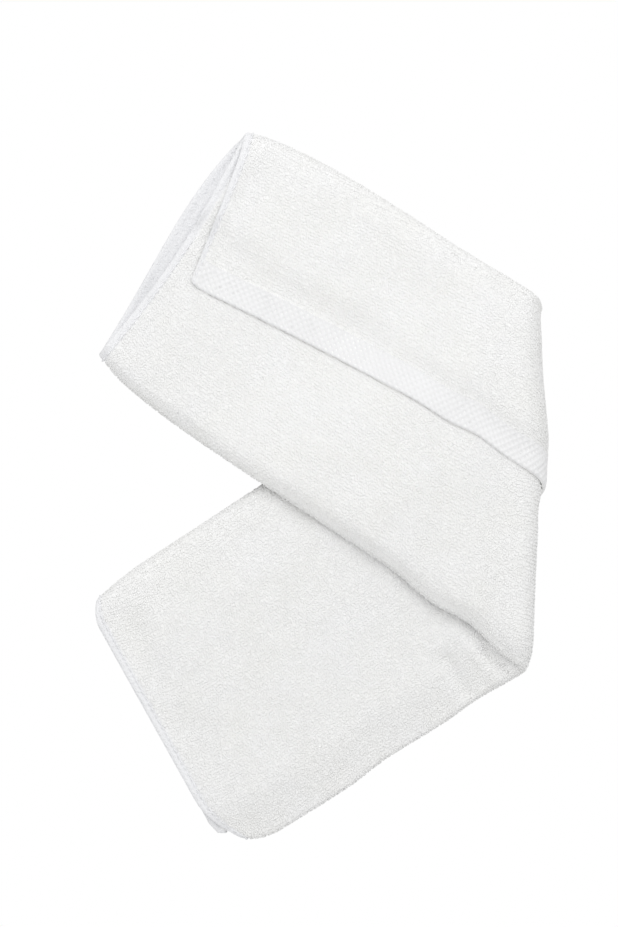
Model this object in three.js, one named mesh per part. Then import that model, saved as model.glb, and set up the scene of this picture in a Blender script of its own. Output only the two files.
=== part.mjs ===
// A terry hand towel, rolled flat into a strip and the strip bent over once in its middle.
//
// The towel is one cloth. Its flat roll is drawn as a section in two measures: how far across
// the strip (from the low fold to the high fold) and how high in the stack of layers. That
// section is swept along the strip: up the lower arm, round the bend, and back along the upper
// arm, which lies across the lower one and sinks to the table past its edge.
//
// Millimetres, +Z up. The towel lies on z = 0, and the middle of its footprint is the origin.
// "low" is the fold on the strip's right as the lower arm runs towards the bend, which is the
// upper arm's lower-left edge. "high" is the other fold.

import * as THREE from "three";

const { clamp, lerp, smoothstep } = THREE.MathUtils;

// The cloth
const CLOTH_LENGTH = 600; // wound up across the strip; the strip is 400 long
const CLOTH = 2.2; // thickness with the pile on both faces
const BAND_CLOTH = 1.6; // the flat woven band at the free edge is thinner
const BAND_WIDTH = 13;
const AIR = 0.6; // between two layers
const PITCH = CLOTH + AIR;

// The roll
const TAIL = 30; // least length of the innermost layer
const WINDING_LOSS = 7; // what the turns save, against five full widths
const CORE_SHARE = 6; // a core edge that moves in by 1 takes this much off the cloth's length
const CLIMB = 14; // a layer takes this much width to climb onto the end of another
const SHOULDER = 20; // and this much to come down past a fold that it covers

// The strip's corners, seen from above. At the bend it has one pair for each arm, since the
// cloth also travels along the bend's line while it turns over.
const HEM_LOW = new THREE.Vector2(-43.0, -173.9);
const HEM_HIGH = new THREE.Vector2(-110.4, -53.0);
const LOWER_BEND_LOW = new THREE.Vector2(90.4, -89.3);
const LOWER_BEND_HIGH = new THREE.Vector2(90.9, 78.1);
const UPPER_BEND_LOW = new THREE.Vector2(90.4, -82.8);
const UPPER_BEND_HIGH = new THREE.Vector2(90.9, 94.4);
const MOUTH_LOW = new THREE.Vector2(-103.9, 60.9);
const MOUTH_HIGH = new THREE.Vector2(-35.1, 164.6);

// How far the upper arm's edges stand out past the straight lines between those corners, by
// the share of the way from the bend to the open end.
const UPPER_SWELL = [
  { along: 0, low: 0, high: 0 },
  { along: 0.2, low: 0.4, high: 1.0 },
  { along: 0.4, low: 0.3, high: 3.2 },
  { along: 0.6, low: 2.6, high: 4.8 },
  { along: 0.8, low: 4.9, high: 4.6 },
  { along: 0.93, low: 3.8, high: 2.6 },
  { along: 1, low: 0, high: 0 },
];

// The hemmed end is drawn in at its two corners, over this share of the lower arm.
const HEM_PINCH = { low: 5, high: 3, run: 0.15 };

// Where the free edge lies on the flap, as a share of the width, by the place along the strip:
// 0 is the hemmed end, 1 and 2 are the two sides of the bend and 3 is the open end.
const FLAP_EDGE = [
  { along: 0, share: 0.42 },
  { along: 1, share: 0.455 },
  { along: 1.5, share: 0.472 },
  { along: 2, share: 0.525 },
  { along: 2.4, share: 0.49 },
  { along: 3, share: 0.417 },
];

// The layers, in the order in which the cloth is wound from its free edge inwards. Each heads
// for the high or the low fold. mouth and hem say how far its side hem stands out past the
// strip's open end and its hemmed end.
const LAYERS = [
  { name: "flap", heads: 1, turnSteps: 6, mouth: -16.9, hem: -3, skew: 1, cornerRun: 14 },
  { name: "base", heads: -1, turnSteps: 5, mouth: 4, hem: 0, skew: 1.7, cornerRun: 30 },
  { name: "cover", heads: 1, turnSteps: 4, mouth: -4.4, hem: -2, skew: 1, cornerRun: 14 },
  { name: "underCore", heads: -1, turnSteps: 3, mouth: -7, hem: -6, skew: 1, cornerRun: 14 },
  { name: "overCore", heads: 1, turnSteps: 3, mouth: -7, hem: -6, skew: 1, cornerRun: 14 },
  { name: "tail", heads: -1, turnSteps: 0, mouth: -7, hem: -6, skew: 1, cornerRun: 14 },
];
const FLAP_SLANT = 0.8; // below 1 bows the slant of the flap's side hem
const END_RUN = 60; // a layer's shift at the strip's end fades over this length

// How far the cloth draws back at the hemmed end's two corners, and the high one's width. The
// low one's width is each layer's cornerRun.
const HEM_CORNER = { low: 10, high: 11, highRun: 14 };

// The bend
const BEND_AIR = 1.8; // between the two arms
const BEND_REACH = 0.75; // how far it stands out, as a share of its height
const BEND_CALM = 40; // the stack is even within this length of the bend

// How far past the lower arm's full height the upper arm stays level over its rounded edges
const BRIDGE = 18;

// How the upper arm comes down to the table past the lower arm's high edge
const DRAPE = { start: 2, run: 36, bendRun: 75 };

// The stack is a little uneven: its height varies by these shares of itself.
const WAVES = [
  { share: 0.035, x: 0.031, y: 0.022, turn: 0.6 },
  { share: 0.03, x: -0.026, y: 0.043, turn: 2.1 },
  { share: 0.02, x: 0.062, y: -0.051, turn: 4.0 },
];

// Steps of the mesh along the strip
const ARM_STEPS = 9;
const BEND_STEPS = 8;
const BEND_CROWDING = 0.9; // below 1 sets an arm's steps closer together near the bend
const TURN_CLEAR = { low: 5, high: 7 }; // from the inner turns to the layers' common places

// A smooth curve through one column of a table
function curveAt(rows, column, along) {
  const last = rows.length - 1;
  const next = clamp(rows.findIndex((row) => row.along >= along), 1, last);
  const slope = (i) => {
    const [a, b] = [rows[Math.max(i - 1, 0)], rows[Math.min(i + 1, last)]];
    return (b[column] - a[column]) / (b.along - a.along);
  };
  const [from, to] = [rows[next - 1], rows[next]];
  const run = to.along - from.along;
  const t = clamp((along - from.along) / run, 0, 1);
  const ease = t * t * (3 - 2 * t);
  const bulge = t * (1 - t) * ((1 - t) * slope(next - 1) - t * slope(next));
  return lerp(from[column], to[column], ease) + run * bulge;
}

// The plan: where the strip lies, seen from above

function shiftedOut(point, from, to, amount) {
  const way = to.clone().sub(from).normalize();
  return point.add(new THREE.Vector2(-way.y, way.x).multiplyScalar(amount));
}

// The two edges at a place along the strip: 0 to 1 up the lower arm, 1 to 2 round the bend,
// 2 to 3 along the upper arm. way points along the arm, away from the bend.
function planAt(along) {
  const low = new THREE.Vector2();
  const high = new THREE.Vector2();
  let way;
  if (along <= 1) {
    low.lerpVectors(HEM_LOW, LOWER_BEND_LOW, along);
    high.lerpVectors(HEM_HIGH, LOWER_BEND_HIGH, along);
    const pinch = Math.pow(Math.max(0, 1 - along / HEM_PINCH.run), 2);
    shiftedOut(low, HEM_LOW, LOWER_BEND_LOW, HEM_PINCH.low * pinch);
    shiftedOut(high, HEM_HIGH, LOWER_BEND_HIGH, -HEM_PINCH.high * pinch);
  } else if (along < 2) {
    low.lerpVectors(LOWER_BEND_LOW, UPPER_BEND_LOW, along - 1);
    high.lerpVectors(LOWER_BEND_HIGH, UPPER_BEND_HIGH, along - 1);
  } else {
    low.lerpVectors(UPPER_BEND_LOW, MOUTH_LOW, along - 2);
    high.lerpVectors(UPPER_BEND_HIGH, MOUTH_HIGH, along - 2);
    const [swellLow, swellHigh] = ["low", "high"].map((side) => curveAt(UPPER_SWELL, side, along - 2));
    shiftedOut(low, UPPER_BEND_LOW, MOUTH_LOW, swellLow);
    shiftedOut(high, UPPER_BEND_HIGH, MOUTH_HIGH, -swellHigh);
  }
  if (along <= 1.5) {
    way = HEM_LOW.clone().add(HEM_HIGH).sub(LOWER_BEND_LOW).sub(LOWER_BEND_HIGH).normalize();
  } else {
    way = MOUTH_LOW.clone().add(MOUTH_HIGH).sub(UPPER_BEND_LOW).sub(UPPER_BEND_HIGH).normalize();
  }
  const width = Math.abs(high.clone().sub(low).cross(way));
  return { low, high, way, width };
}

// How far a place is from the open end of its own arm
function lengthToEnd(along, share) {
  const reach = along <= 1 ? along : 3 - along;
  const [low, high] = along <= 1 ? [HEM_LOW, HEM_HIGH] : [MOUTH_LOW, MOUTH_HIGH];
  const [bendLow, bendHigh] = along <= 1 ? [LOWER_BEND_LOW, LOWER_BEND_HIGH]
    : [UPPER_BEND_LOW, UPPER_BEND_HIGH];
  return reach * lerp(low.distanceTo(bendLow), high.distanceTo(bendHigh), share);
}

// The roll: its section at a place along the strip

// The section's widths. Where the strip is wide the core is narrower than it, since the cloth
// has one length all along.
function sectionAt(along) {
  const { width } = planAt(along);
  const flapEdge = width * curveAt(FLAP_EDGE, "share", along);
  const wound = 5 * width - flapEdge - WINDING_LOSS;
  const slack = Math.max(0, wound + TAIL - CLOTH_LENGTH) / CORE_SHARE;
  const tail = CLOTH_LENGTH - (wound - CORE_SHARE * slack);
  const coreLow = PITCH + slack;
  const coverHigh = width - PITCH - slack;
  const coreHigh = width - 2 * PITCH - slack;
  return { width, flapEdge, coreLow, coverHigh, coreHigh, tailEdge: coreHigh - tail };
}

// How much of each layer lies at a place across the strip, from 0 to 1, as the layers above it
// feel it: they climb before a free end and come down past a fold.
function presence(across, section) {
  const climb = (edge) => smoothstep(across, edge - CLIMB, edge - 1);
  const rise = smoothstep(across, section.coreLow - CLOTH - SHOULDER, section.coreLow - CLOTH);
  const fall = (edge) => 1 - smoothstep(across, edge + CLOTH, edge + CLOTH + SHOULDER);
  return {
    base: 1,
    underCore: rise * fall(section.coverHigh),
    tail: climb(section.tailEdge) * fall(section.coreHigh),
    overCore: rise * fall(section.coreHigh),
    cover: fall(section.coverHigh),
    flap: climb(section.flapEdge),
  };
}

// Height of the middle of a layer, which rests on those before it in the stack
function layerHeight(name, across, section) {
  const there = presence(across, section);
  const stack = Object.keys(there);
  const under = stack.slice(0, stack.indexOf(name));
  return CLOTH / 2 + PITCH * under.reduce((sum, layer) => sum + there[layer], 0);
}

function stackHeight(across, section) {
  const there = Object.values(presence(across, section));
  return PITCH * there.reduce((sum, share) => sum + share, 0) - AIR;
}

// The turn that joins a layer to the next: an ellipse whose outermost point stands at edge
function turnAfter(index, section) {
  const { width, coreLow, coverHigh, coreHigh } = section;
  const outer = [width, 0, coverHigh, coreLow, coreHigh][index];
  const { name, heads } = LAYERS[index];
  const edge = outer - (heads * CLOTH) / 2;
  const halfGap = (across) => {
    const [here, next] = [name, LAYERS[index + 1].name];
    return (layerHeight(here, across, section) - layerHeight(next, across, section)) / 2;
  };
  const reach = Math.abs(halfGap(edge));
  const from = edge - heads * reach;
  const middle = layerHeight(name, from, section) - halfGap(from);
  return { from, reach, middle, halfHeight: halfGap(from) };
}

// Places across the strip at which every layer that passes has a point, so that the layers run
// side by side. The ends of this row stay clear of the turns.
function commonPlaces(section) {
  const lowEnd = turnAfter(3, section).from + TURN_CLEAR.low;
  const highEnd = turnAfter(2, section).from - TURN_CLEAR.high;
  const { flapEdge, tailEdge } = section;
  const flapFoot = flapEdge - CLIMB;
  const tailFoot = tailEdge - CLIMB;
  return [
    lowEnd,
    lerp(lowEnd, flapFoot, 0.5),
    flapFoot,
    flapEdge - CLIMB / 2,
    flapEdge,
    tailFoot,
    tailEdge - CLIMB / 2,
    tailEdge,
    highEnd,
  ];
}

// The places from one to another: the common ones between them, and in thirds past the last
// common one on each side
function placesBetween(from, to, section) {
  const common = commonPlaces(section);
  const thirds = (a, b) => [lerp(a, b, 1 / 3), lerp(a, b, 2 / 3)];
  const places = [from, ...common.filter((place) => place > from + 1 && place < to - 1), to];
  if (from < common[0]) places.splice(1, 0, ...thirds(from, common[0]));
  if (to > common.at(-1)) places.splice(-1, 0, ...thirds(common.at(-1), to));
  return places;
}

// The places at which one layer has its points, from where the layer before ends
function layerPlaces(index, section) {
  const last = index === LAYERS.length - 1;
  const start = index === 0 ? section.flapEdge : turnAfter(index - 1, section).from;
  const end = last ? section.tailEdge : turnAfter(index, section).from;
  if (LAYERS[index].heads > 0) return placesBetween(start, end, section);
  return placesBetween(end, start, section).reverse();
}

function range(count) {
  return Array.from({ length: count }, (_, i) => i);
}

// The middle line of the cloth through the roll, from the free edge inwards. Each point has the
// direction of the cloth's outer face, and how far it has turned towards the next layer.
function middleLine(section) {
  const line = [];
  const bandEnd = section.flapEdge + BAND_WIDTH;
  LAYERS.forEach(({ name, heads, turnSteps }, index) => {
    layerPlaces(index, section).forEach((across) => {
      const height = layerHeight(name, across, section);
      const pile = smoothstep(across, bandEnd - 1, bandEnd + 1);
      const thickness = index === 0 ? lerp(BAND_CLOTH, CLOTH, pile) : CLOTH;
      line.push({ index, turned: 0, across, height, stackPlace: across, out: [0, heads], thickness });
    });
    if (index === LAYERS.length - 1) return;
    const turn = turnAfter(index, section);
    range(turnSteps - 1).forEach((i) => {
      const turned = (i + 1) / turnSteps;
      const [outwards, up] = [Math.sin(Math.PI * turned), Math.cos(Math.PI * turned)];
      line.push({
        index,
        turned,
        across: turn.from + heads * turn.reach * outwards,
        height: turn.middle + turn.halfHeight * up,
        stackPlace: turn.from,
        out: [heads * outwards, heads * up],
        thickness: CLOTH,
      });
    });
  });
  return line;
}

// The section as one closed ring: the outer face from the free edge to the tail, and back
// along the inner face
function ringAt(section) {
  const line = middleLine(section);
  const face = (side) => line.map((point) => ({
    ...point,
    across: point.across + (side * point.out[0] * point.thickness) / 2,
    height: point.height + (side * point.out[1] * point.thickness) / 2,
  }));
  return [...face(1), ...face(-1).reverse()];
}

// The strip in space

// How far a layer's side hem stands out past the end of the strip
function endShift(layer, across, section, atMouth) {
  const { width, flapEdge } = section;
  let form = Math.sin(Math.PI * Math.pow(clamp(across / width, 0, 1), layer.skew));
  if (layer.name === "flap") {
    form = Math.pow(Math.max(0, width - across) / (width - flapEdge), FLAP_SLANT);
  }
  if (atMouth) return layer.mouth * form;
  const drawnBack = (inwards, back, run) => back * Math.pow(Math.max(0, 1 - inwards / run), 2);
  const low = drawnBack(across, HEM_CORNER.low, layer.cornerRun);
  const high = drawnBack(width - across, HEM_CORNER.high, HEM_CORNER.highRun);
  return layer.hem * form - low - high;
}

function placeInPlan(plan, along, point, section) {
  const share = point.across / section.width;
  const place = plan.low.clone().lerp(plan.high, share);
  const fade = Math.pow(Math.max(0, 1 - lengthToEnd(along, share) / END_RUN), 2);
  const [layer, next] = [LAYERS[point.index], LAYERS[point.index + 1] ?? LAYERS[point.index]];
  const shift = (of) => endShift(of, point.across, section, along > 1.5);
  return place.addScaledVector(plan.way, fade * lerp(shift(layer), shift(next), point.turned));
}

// The uneven height of the stack, which is calm along the bend
function unevenAt(place) {
  const wave = ({ share, x, y, turn }) => share * Math.sin(place.x * x + place.y * y + turn);
  const calm = smoothstep(LOWER_BEND_LOW.x - place.x, 0, BEND_CALM);
  return 1 + calm * WAVES.reduce((sum, each) => sum + wave(each), 0);
}

// A height that every layer shares at a station: worked out at the outermost layers' places,
// straight between them and level past the last, where the outermost turns begin
function sharedHeight(section, heightAt) {
  const places = placesBetween(turnAfter(1, section).from, turnAfter(0, section).from, section);
  const heights = places.map(heightAt);
  return (across) => {
    const next = places.findIndex((place) => place > across);
    if (next < 0) return heights.at(-1);
    if (next === 0) return heights[0];
    const share = (across - places[next - 1]) / (places[next] - places[next - 1]);
    return lerp(heights[next - 1], heights[next], share);
  };
}

// The height of what the upper arm lies on: the lower arm, and past its high edge the table
function groundAt(place, bendStack) {
  const fromBend = LOWER_BEND_LOW.x - place.x;
  const lowWay = LOWER_BEND_LOW.clone().sub(HEM_LOW).normalize();
  const highWay = LOWER_BEND_HIGH.clone().sub(HEM_HIGH).normalize();
  const aboveLow = lowWay.cross(place.clone().sub(HEM_LOW));
  const belowHigh = -highWay.cross(place.clone().sub(HEM_HIGH));
  const share = aboveLow / (aboveLow + belowHigh);
  const start = HEM_LOW.clone().lerp(HEM_HIGH, share);
  const end = LOWER_BEND_LOW.clone().lerp(LOWER_BEND_HIGH, share);
  const along = clamp(start.distanceTo(place) / start.distanceTo(end), HEM_PINCH.run, 1);
  const section = sectionAt(along);
  const lowerStack = sharedHeight(section, (across) => stackHeight(across, section));
  const across = share * section.width;
  const inwards = clamp(section.width / 2 - across, -BRIDGE, BRIDGE);
  const stack = Math.max(lowerStack(across), lowerStack(across + inwards));
  const lowerArm = stack * unevenAt(place);
  const nearBend = 1 - smoothstep(fromBend, 0, BEND_CALM);
  const past = smoothstep(-belowHigh, DRAPE.start, DRAPE.start + DRAPE.run);
  const down = past * smoothstep(fromBend, 0, DRAPE.bendRun);
  return (Math.max(lowerArm, bendStack * nearBend) + BEND_AIR) * (1 - down);
}

// The section's ring on the lower arm, where the roll lies upside down
function lowerRing(along, section) {
  const stack = sharedHeight(section, (across) => stackHeight(across, section));
  const plan = planAt(along);
  return ringAt(section).map((point) => {
    const place = placeInPlan(plan, along, point, section);
    const height = (stack(point.stackPlace) - point.height) * unevenAt(place);
    return new THREE.Vector3(place.x, place.y, height);
  });
}

// The section's ring on the upper arm, which lies on the lower one and the table
function upperRing(along, section) {
  const plan = planAt(along);
  const ground = sharedHeight(section, (across) => {
    const place = plan.low.clone().lerp(plan.high, across / section.width);
    return groundAt(place, stackHeight(across, section));
  });
  return ringAt(section).map((point) => {
    const place = placeInPlan(plan, along, point, section);
    const height = ground(point.across) + point.height * unevenAt(place);
    return new THREE.Vector3(place.x, place.y, height);
  });
}

// Round the bend each point follows half an ellipse from the lower arm to the upper one
function bendRing(along, section) {
  const turned = along - 1;
  const upper = upperRing(2, section);
  return lowerRing(1, section).map((lower, i) => {
    const halfHeight = (upper[i].z - lower.z) / 2;
    const place = lower.clone().lerp(upper[i], turned);
    place.z = lower.z + halfHeight * (1 - Math.cos(Math.PI * turned));
    place.x += BEND_REACH * halfHeight * Math.sin(Math.PI * turned);
    return place;
  });
}

function stations() {
  const crowded = (share) => 1 - Math.pow(1 - share, BEND_CROWDING);
  const lower = range(ARM_STEPS).map((i) => 1 - crowded(1 - i / ARM_STEPS));
  const bend = range(BEND_STEPS).map((i) => 1 + i / BEND_STEPS);
  const upper = range(ARM_STEPS + 1).map((i) => 2 + crowded(i / ARM_STEPS));
  return [...lower, ...bend, ...upper];
}

// The towel's skin: the section's rings joined from end to end and closed at both
function towelGeometry() {
  const rings = stations().map((along) => {
    const section = sectionAt(along);
    if (along <= 1) return lowerRing(along, section);
    if (along >= 2) return upperRing(along, section);
    return bendRing(along, section);
  });
  const size = rings[0].length;
  const across = ringAt(sectionAt(0)).map((point) => point.across);
  const corners = [];
  const quad = (a, b, c, d) => corners.push(a, b, c, a, c, d);
  for (let ring = 0; ring < rings.length - 1; ring++) {
    for (let i = 0; i < size; i++) {
      const j = (i + 1) % size;
      const [here, next] = [ring * size, (ring + 1) * size];
      // Every layer's squares are split the same way in space, so that they stay apart
      if (across[i] < across[j]) quad(here + i, here + j, next + j, next + i);
      else quad(here + j, next + j, next + i, here + i);
    }
  }
  const lastRing = (rings.length - 1) * size;
  for (let i = 0; i < size / 2 - 1; i++) {
    const [a, b, c, d] = [i, i + 1, size - 2 - i, size - 1 - i];
    quad(a, d, c, b);
    quad(lastRing + a, lastRing + b, lastRing + c, lastRing + d);
  }
  const geometry = new THREE.BufferGeometry();
  geometry.setFromPoints(rings.flat());
  geometry.setIndex(corners);
  geometry.computeVertexNormals();
  return geometry;
}

const terry = new THREE.MeshStandardMaterial({ color: 0xf0f0ec, roughness: 0.95, metalness: 0 });
const towel = new THREE.Mesh(towelGeometry(), terry);
towel.name = "towel";

const group = new THREE.Group();
group.add(towel);

export default group;
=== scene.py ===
# %% [markdown]
# # A terry hand towel, rolled flat and bent over
#
# The real thing is one white cotton towel of 40 by 60 cm. It has been rolled up flat into a strip
# of six layers, and the strip is bent over once in its middle, so that one arm lies across the
# other. We load the finished CAD frame first. It holds the towel's solid at its true size, and
# every mesh below is made around it in the same place.

# %% Load the frame
import math

import bpy
import numpy as np
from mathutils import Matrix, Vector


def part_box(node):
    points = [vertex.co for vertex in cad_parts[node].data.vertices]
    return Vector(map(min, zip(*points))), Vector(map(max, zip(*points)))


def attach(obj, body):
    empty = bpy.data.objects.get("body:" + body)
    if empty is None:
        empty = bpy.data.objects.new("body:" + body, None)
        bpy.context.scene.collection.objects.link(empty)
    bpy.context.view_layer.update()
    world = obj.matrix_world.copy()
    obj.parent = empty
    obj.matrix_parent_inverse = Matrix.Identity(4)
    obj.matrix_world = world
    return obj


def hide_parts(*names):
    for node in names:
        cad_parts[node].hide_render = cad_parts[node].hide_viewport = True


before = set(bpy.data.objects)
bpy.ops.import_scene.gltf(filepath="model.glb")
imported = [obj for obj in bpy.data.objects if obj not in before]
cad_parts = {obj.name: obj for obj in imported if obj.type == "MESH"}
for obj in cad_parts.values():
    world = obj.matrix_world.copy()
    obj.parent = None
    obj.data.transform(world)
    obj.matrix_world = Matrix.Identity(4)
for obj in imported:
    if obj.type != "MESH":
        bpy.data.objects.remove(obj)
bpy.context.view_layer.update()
CAD_LOW, CAD_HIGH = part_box("towel")
MM = 0.001
print("towel solid, mm:", [round((b - a) / MM, 1) for a, b in zip(CAD_LOW, CAD_HIGH)])

# %% [markdown]
# ## The strip, seen from above
#
# The cloth could be draped by a simulation, but the roll's six layers lie less than 1 mm apart,
# and a solver lets such layers slip through each other. So the form is worked out instead: a
# section through the roll is swept along the strip. These are the strip's corners and edges in
# millimetres, the same as the solid's. "low" is the fold on the strip's right as the lower arm
# runs to the bend, and "high" is the other fold.

# %% Sizes of the cloth and corners of the strip
CLOTH_WIDTH, CLOTH_LENGTH = 400, 600
CLOTH = 2.2
AIR = 0.6
PITCH = CLOTH + AIR
BAND_CLOTH = 1.6
BAND_WIDTH = 13
# The shortest tail, what the turns save of the wound length, and how much of that length each mm
# of slack beside the core takes up.
TAIL, WINDING_LOSS, CORE_SHARE = 30, 7, 6
# How far a layer takes to climb over the end of another one, and to come down past a fold.
CLIMB, SHOULDER = 14, 20
MID_BEND = 1.5

HEM_LOW, HEM_HIGH = np.array([-43.0, -173.9]), np.array([-110.4, -53.0])
LOWER_BEND_LOW, LOWER_BEND_HIGH = np.array([90.4, -89.3]), np.array([90.9, 78.1])
UPPER_BEND_LOW, UPPER_BEND_HIGH = np.array([90.4, -82.8]), np.array([90.9, 94.4])
MOUTH_LOW, MOUTH_HIGH = np.array([-103.9, 60.9]), np.array([-35.1, 164.6])
LOWER_ARM = (HEM_LOW, HEM_HIGH), (LOWER_BEND_LOW, LOWER_BEND_HIGH)
UPPER_ARM = (MOUTH_LOW, MOUTH_HIGH), (UPPER_BEND_LOW, UPPER_BEND_HIGH)

# How far each edge stands out past the straight line between its corners, by the share of the
# arm that the strip has run: the lower arm starts at its hemmed end, the upper arm at the bend.
UPPER_LOW_SWELL = [(0, 0), (0.04, 0.3), (0.12, -2.2), (0.2, 0.4), (0.3, -1.0), (0.4, 0.1),
                   (0.57, 2.4), (0.64, 3.4), (0.8, 4.9), (0.93, 3.8), (1, 0)]
UPPER_HIGH_SWELL = [(0, 0), (0.2, 1.0), (0.4, 3.2), (0.6, 4.8), (0.8, 4.6), (0.93, 2.6), (1, 0)]
LOWER_LOW_SWELL = [(0, 0), (0.08, 1.0), (0.25, 1.5), (0.42, 1.4), (0.55, -0.3), (0.75, 0),
                   (0.87, -1.0), (1, 0)]
HEM_PINCH = {"low": 5, "high": 3, "run": 0.15}
# Where the free edge lies across the strip, as a share of its width, by the place along it.
FLAP_EDGE = [(0, 0.42), (1, 0.455), (1.5, 0.472), (2, 0.525), (2.4, 0.49), (3, 0.417)]


def smoothstep(x, low, high):
    t = np.clip((np.asarray(x, float) - low) / (high - low), 0, 1)
    return t * t * (3 - 2 * t)


def lerp(a, b, t):
    return a + (b - a) * t


def curve_at(rows, along):
    """A smooth curve through a table's two columns."""
    places = [row[0] for row in rows]
    last = len(rows) - 1
    nxt = min(max(int(np.searchsorted(places, along)), 1), last)

    def slope(i):
        (p, a), (q, b) = rows[max(i - 1, 0)], rows[min(i + 1, last)]
        return (b - a) / (q - p)

    (start, a), (end, b) = rows[nxt - 1], rows[nxt]
    t = min(max((along - start) / (end - start), 0), 1)
    bulge = t * (1 - t) * ((1 - t) * slope(nxt - 1) - t * slope(nxt))
    return lerp(a, b, t * t * (3 - 2 * t)) + (end - start) * bulge


def unit(vector):
    return vector / np.linalg.norm(vector)


def left_of(start, end):
    way = unit(end - start)
    return np.array([-way[1], way[0]])


def beside(place, start, end):
    """How far a place is to the left of the line from start to end."""
    return (place - start) @ left_of(start, end)


def plan_at(along):
    """The strip's two edges: 0 to 1 up the lower arm, 1 to 2 round the bend, 2 to 3 along the
    upper arm. The way points along the arm, away from the bend."""
    if along <= 1:
        pinch = max(0, 1 - along / HEM_PINCH["run"]) ** 2
        low = lerp(HEM_LOW, LOWER_BEND_LOW, along)
        high = lerp(HEM_HIGH, LOWER_BEND_HIGH, along)
        inwards = HEM_PINCH["low"] * pinch - curve_at(LOWER_LOW_SWELL, along)
        low = low + left_of(HEM_LOW, LOWER_BEND_LOW) * inwards
        high = high - left_of(HEM_HIGH, LOWER_BEND_HIGH) * HEM_PINCH["high"] * pinch
    elif along < 2:
        low = lerp(LOWER_BEND_LOW, UPPER_BEND_LOW, along - 1)
        high = lerp(LOWER_BEND_HIGH, UPPER_BEND_HIGH, along - 1)
    else:
        low = lerp(UPPER_BEND_LOW, MOUTH_LOW, along - 2)
        high = lerp(UPPER_BEND_HIGH, MOUTH_HIGH, along - 2)
        low = low + left_of(UPPER_BEND_LOW, MOUTH_LOW) * curve_at(UPPER_LOW_SWELL, along - 2)
        high = high - left_of(UPPER_BEND_HIGH, MOUTH_HIGH) * curve_at(UPPER_HIGH_SWELL, along - 2)
    ends, bends = LOWER_ARM if along <= MID_BEND else UPPER_ARM
    way = unit(ends[0] + ends[1] - bends[0] - bends[1])
    across = high - low
    width = abs(across[0] * way[1] - across[1] * way[0])
    return {"low": low, "high": high, "way": way, "width": width}


def length_to_end(along, share):
    """How far a place is from the end of its own arm, in mm."""
    (ends, bends), reach = (LOWER_ARM, along) if along <= 1 else (UPPER_ARM, 3 - along)
    low, high = [np.linalg.norm(bend - end) for bend, end in zip(bends, ends)]
    return reach * lerp(low, high, share)


for title, along in (("hemmed end", 0), ("before the bend", 1), ("after it", 2), ("mouth", 3)):
    print(f"strip's width at the {title}: {plan_at(along)['width']:.0f} mm")

# %% [markdown]
# ## The roll, seen from its end
#
# The cloth starts at its free short edge, which lies on top of the roll as a flap. It runs to the
# high fold, back under everything as the base, up round the low fold as the cover, and then winds
# inwards as the core until its other short edge, the tail. Each layer rests on those below it, so
# it climbs before the end of another layer and comes down past a fold. Where the strip is wide the
# core is narrower than it, because the cloth is 60 cm long everywhere.

# %% Layers of the roll
# Each layer heads for the high fold (1) or the low fold (-1). mouth and hem say how far its side
# hem stands out past the strip's open end and its hemmed end, and skew moves the bulge across.
# back and corner say how far the hemmed end's low corner is drawn back, and over what width.
LAYER_KEYS = ("name", "heads", "mouth", "hem", "skew", "back", "corner")
LAYERS = [dict(zip(LAYER_KEYS, row)) for row in (
    ("flap", 1, -16.9, -3, 1, 5, 10),
    ("base", -1, 4, 0, 1.7, 11, 28),
    ("cover", 1, -4.4, -3, 1, 10, 28),
    ("under_core", -1, -7, -1, 1, 10, 10),
    ("over_core", 1, -7, -2, 1, 11, 12),
    ("tail", -1, -7, -6, 1, 12, 16),
)]
BASE, COVER, LAST = 1, 2, len(LAYERS) - 1
STRAIGHT_CORNERS = ("under_core", "over_core")
FLAP_SLANT = 0.8
END_RUN = 60
HIGH_CORNER = {"back": 5, "run": 12}
FLAP_CORNER = {"back": 1.6, "run": 3}


def section_at(along):
    width = plan_at(along)["width"]
    flap_edge = width * curve_at(FLAP_EDGE, along)
    wound = 5 * width - flap_edge - WINDING_LOSS
    slack = max(0, wound + TAIL - CLOTH_LENGTH) / CORE_SHARE
    tail = CLOTH_LENGTH - (wound - CORE_SHARE * slack)
    core_high = width - 2 * PITCH - slack
    return {
        "width": width,
        "flap_edge": flap_edge,
        "core_low": PITCH + slack,
        "cover_high": width - PITCH - slack,
        "core_high": core_high,
        "tail_edge": core_high - tail,
    }


def presence(across, section):
    """How much of each layer lies at a place, from 0 to 1, in the order in which they stack."""
    def climb(edge):
        return smoothstep(across, edge - CLIMB, edge - 1)

    def fall(edge):
        return 1 - smoothstep(across, edge + CLOTH, edge + CLOTH + SHOULDER)

    foot = section["core_low"] - CLOTH
    rise = smoothstep(across, foot - SHOULDER, foot)
    return {
        "base": np.ones_like(rise),
        "under_core": rise * fall(section["cover_high"]),
        "tail": climb(section["tail_edge"]) * fall(section["core_high"]),
        "over_core": rise * fall(section["core_high"]),
        "cover": fall(section["cover_high"]),
        "flap": climb(section["flap_edge"]),
    }


def layer_height(name, across, section):
    there = presence(across, section)
    stack = list(there)
    under = [there[layer] for layer in stack[:stack.index(name)]]
    return CLOTH / 2 + PITCH * sum(under, np.zeros_like(there["base"]))


def stack_height(across, section):
    return PITCH * sum(presence(across, section).values()) - AIR


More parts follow.
